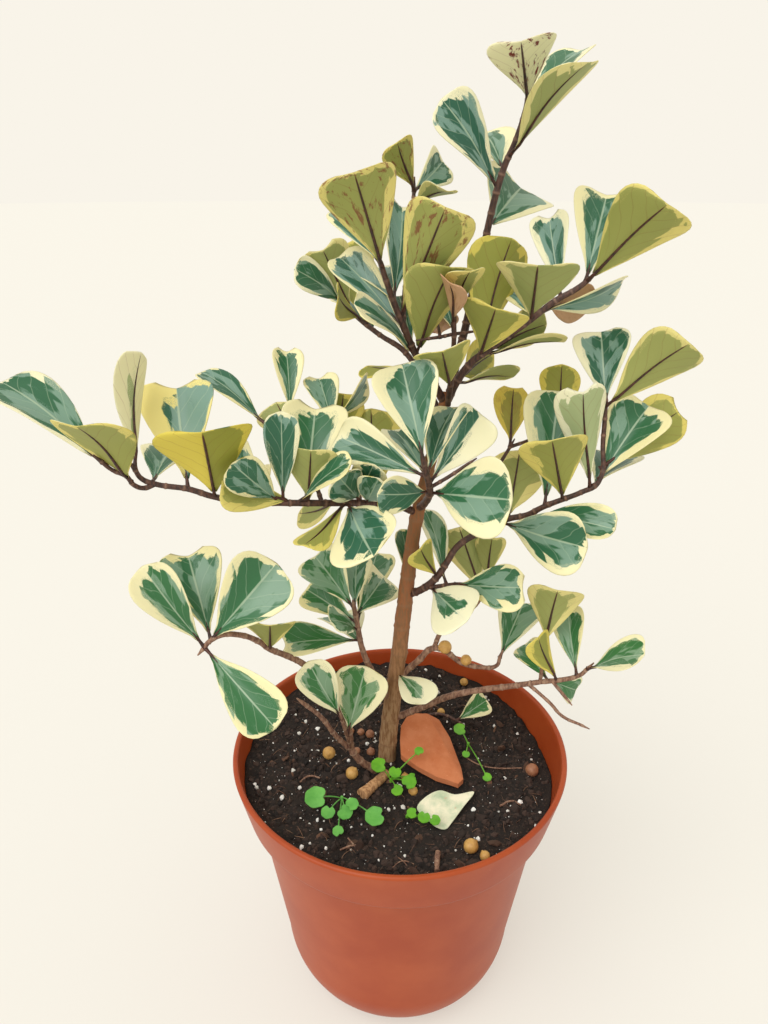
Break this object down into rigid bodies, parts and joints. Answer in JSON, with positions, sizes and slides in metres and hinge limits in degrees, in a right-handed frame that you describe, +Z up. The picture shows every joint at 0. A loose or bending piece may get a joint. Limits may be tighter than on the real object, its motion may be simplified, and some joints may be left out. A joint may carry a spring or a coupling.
{
  "type": "potted triangle fig",
  "caption": "Variegated triangle fig shrub with a bare trunk and spreading leafy stems, growing in a round plastic nursery pot of soil.",
  "frame": {"origin": "middle of the pot's flat underside, on the surface it stands on", "axes": "+Z up, -Y towards the front, +X to the right seen from the front"},
  "size_m": [0.318, 0.199, 0.5394],
  "materials": {
    "pot": "satin, lightly scuffed",
    "soil": "rough potting mix of peat and bark",
    "bark": "rough bark",
    "leafy_stem": "leaves with a soft gloss",
    "dried_fig": "dry and matt",
    "terracotta": "unglazed, matt",
    "fallen_leaf": "satin",
    "seedling": "soft"
  },
  "bodies": {
    "root": {"pot": "pot", "soil": "soil", "trunk": "bark", "leader": "leafy_stem", "upper_left": "leafy_stem", "back_left": "leafy_stem", "upper_right": "leafy_stem", "middle_shoot": "leafy_stem", "front_rosette": "leafy_stem", "left_long": "leafy_stem", "right_middle": "leafy_stem", "lower_right": "leafy_stem", "inner_left": "leafy_stem", "low_left": "leafy_stem", "low_right": "leafy_stem", "soil_shoot": "leafy_stem", "fig_1": "dried_fig", "fig_2": "dried_fig", "fig_3": "dried_fig", "fig_4": "dried_fig", "fig_5": "dried_fig", "fig_6": "dried_fig", "fig_7": "dried_fig", "fig_8": "dried_fig", "fig_9": "dried_fig", "fig_10": "dried_fig", "shard": "terracotta", "fallen_leaf": "fallen_leaf", "pruned_stub": "bark", "seedling_left": "seedling", "seedling_middle": "seedling", "seedling_front": "seedling", "seedling_right": "seedling"}
  },
  "joints": []
}
